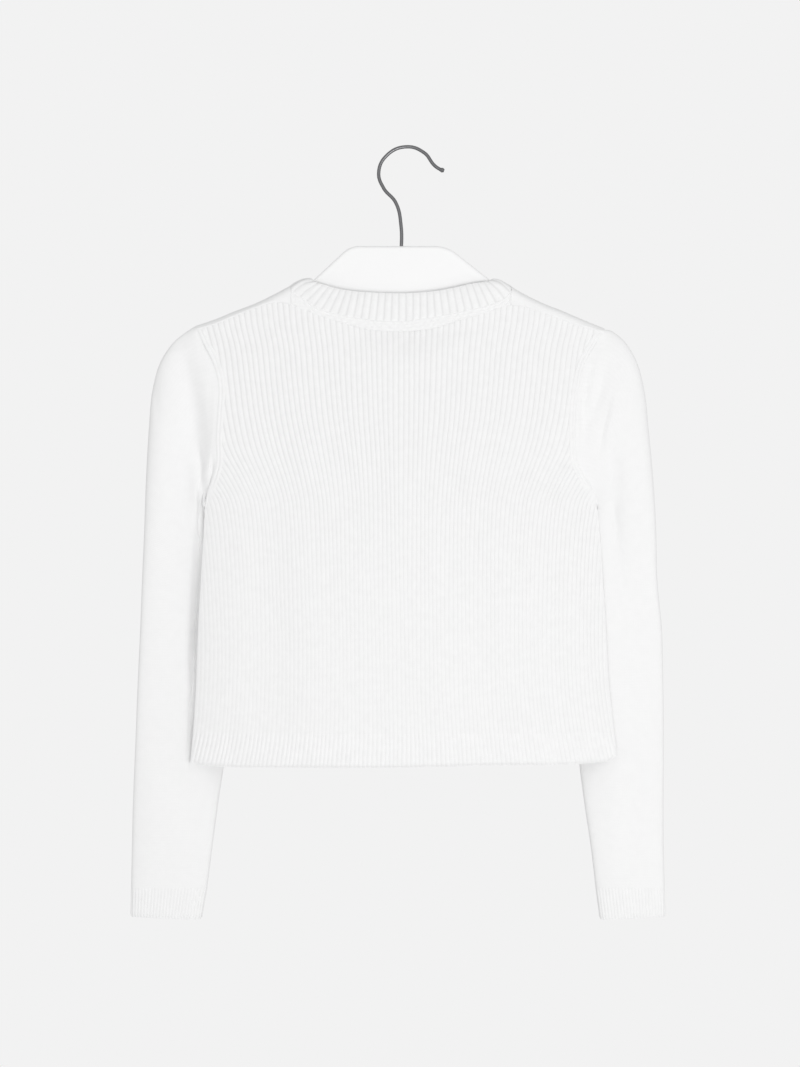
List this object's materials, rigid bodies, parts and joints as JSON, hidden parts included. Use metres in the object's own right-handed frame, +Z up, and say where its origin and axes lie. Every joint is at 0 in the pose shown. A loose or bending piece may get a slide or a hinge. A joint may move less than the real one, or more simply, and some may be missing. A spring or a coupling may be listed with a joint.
{
  "type": "cardigan on a clothes hanger",
  "caption": "Cropped rib-knit cardigan with long plain-knit sleeves, round neckband and buttoned front, hung closed on a flat board hanger with a wire hook.",
  "frame": {"origin": "the point where the hook hangs: inside the top of its bend, above its stem", "axes": "+Z up, the back of the garment faces -Y, +X is the wearer's right"},
  "size_m": [0.5364, 0.0501, 0.7753],
  "materials": {
    "rib_knit": "matt off-white rib knit",
    "plain_knit": "matt off-white plain knit",
    "button_resin": "pearly off-white",
    "hanger_plastic": "smooth white",
    "hook_steel": "drawn wire"
  },
  "bodies": {
    "root": {"back": "rib_knit", "front_left": "rib_knit", "front_right": "rib_knit", "hem_back": "rib_knit", "hem_front_left": "rib_knit", "hem_front_right": "rib_knit", "neckband": "rib_knit", "neck_strip": "rib_knit", "band_button": "rib_knit", "band_buttonhole": "rib_knit", "sleeve_left": "plain_knit", "sleeve_right": "plain_knit", "cuff_left": "rib_knit", "cuff_right": "rib_knit", "button_1": "button_resin", "button_2": "button_resin", "button_3": "button_resin", "button_4": "button_resin", "button_5": "button_resin", "button_6": "button_resin", "hanger": "hanger_plastic", "hanger_hook": "hook_steel"}
  },
  "joints": []
}
